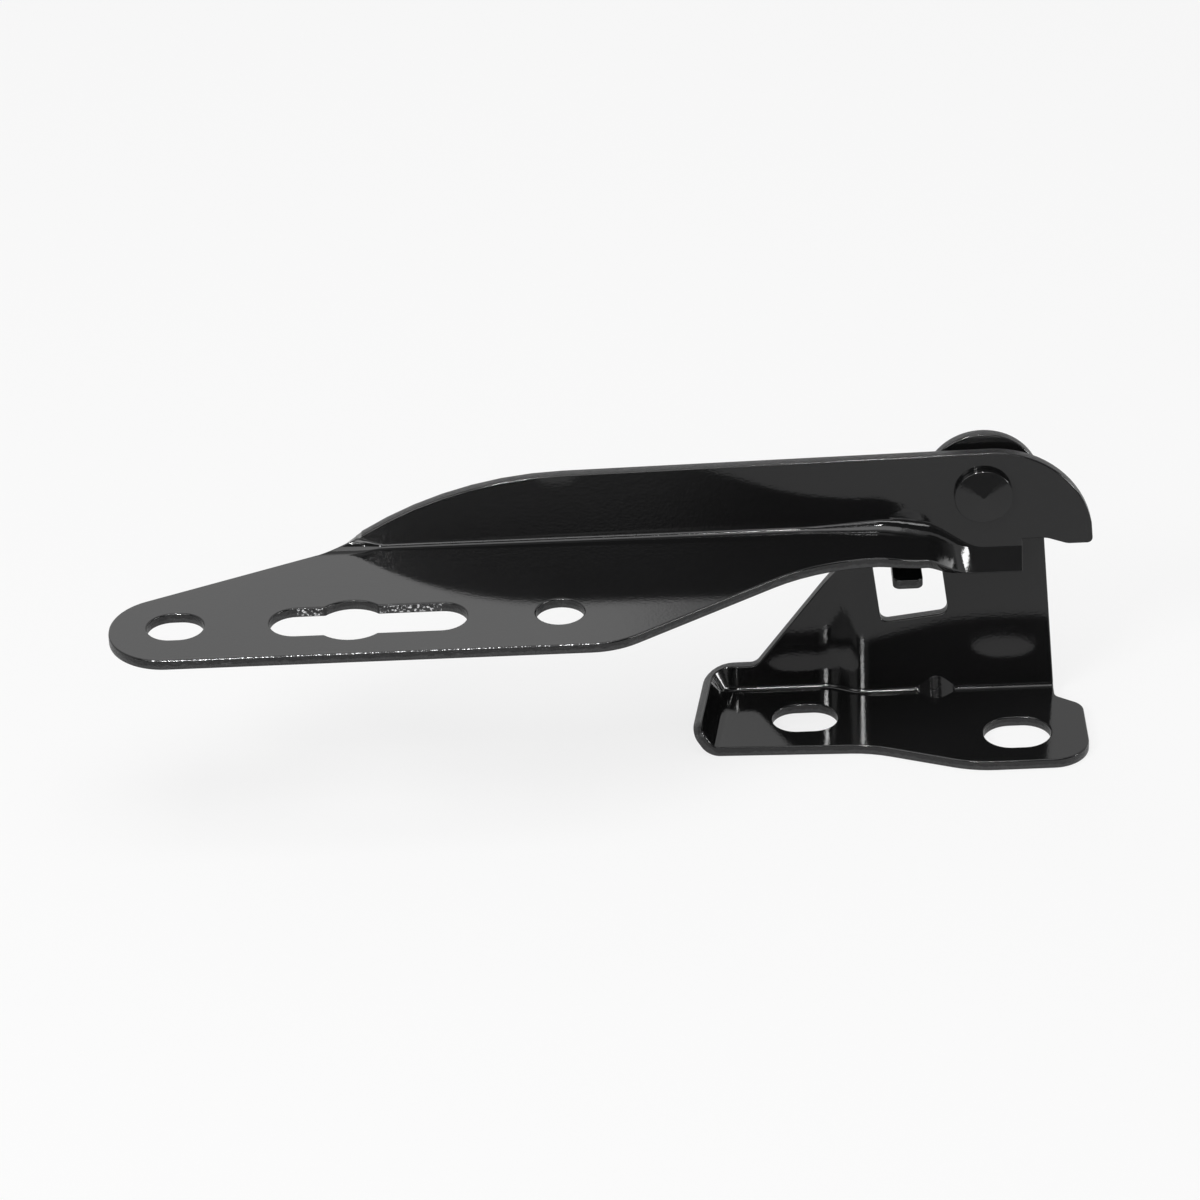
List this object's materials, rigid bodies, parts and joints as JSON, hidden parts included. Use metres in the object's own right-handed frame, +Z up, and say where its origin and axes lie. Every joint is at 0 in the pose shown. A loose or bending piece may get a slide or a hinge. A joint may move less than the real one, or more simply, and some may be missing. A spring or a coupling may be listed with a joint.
{
  "type": "bonnet hinge",
  "caption": "Pressed-steel bonnet hinge: a slotted body bracket with a stop tab and a toe lip, and a long flanged bonnet arm that swings on a riveted pivot.",
  "frame": {"origin": "on the bracket's seating face, midway between the middles of its two bolt slots", "axes": "+X along the arm from its tip towards the pivot, +Y from the open front to the webs, +Z up from the seating face"},
  "size_m": [0.2081, 0.0522, 0.0654],
  "materials": {
    "bracket_coat": "gloss black dip coat",
    "arm_coat": "gloss black dip coat",
    "rivet_coat": "satin black dip coat",
    "bush_metal": "dull sintered bronze",
    "washer_coat": "satin black dip coat"
  },
  "bodies": {
    "bracket": {"body_bracket": "bracket_coat", "pivot_rivet": "rivet_coat", "pivot_washer": "washer_coat"},
    "arm": {"bonnet_arm": "arm_coat", "pivot_bush": "bush_metal"}
  },
  "joints": [
    {"name": "arm_pivot", "type": "hinge", "parent": "bracket", "child": "arm", "pos_m": [0.01645, 0.01392, 0.0529], "axis": [0, 1, 0], "range_deg": [-20, 89.5]}
  ]
}
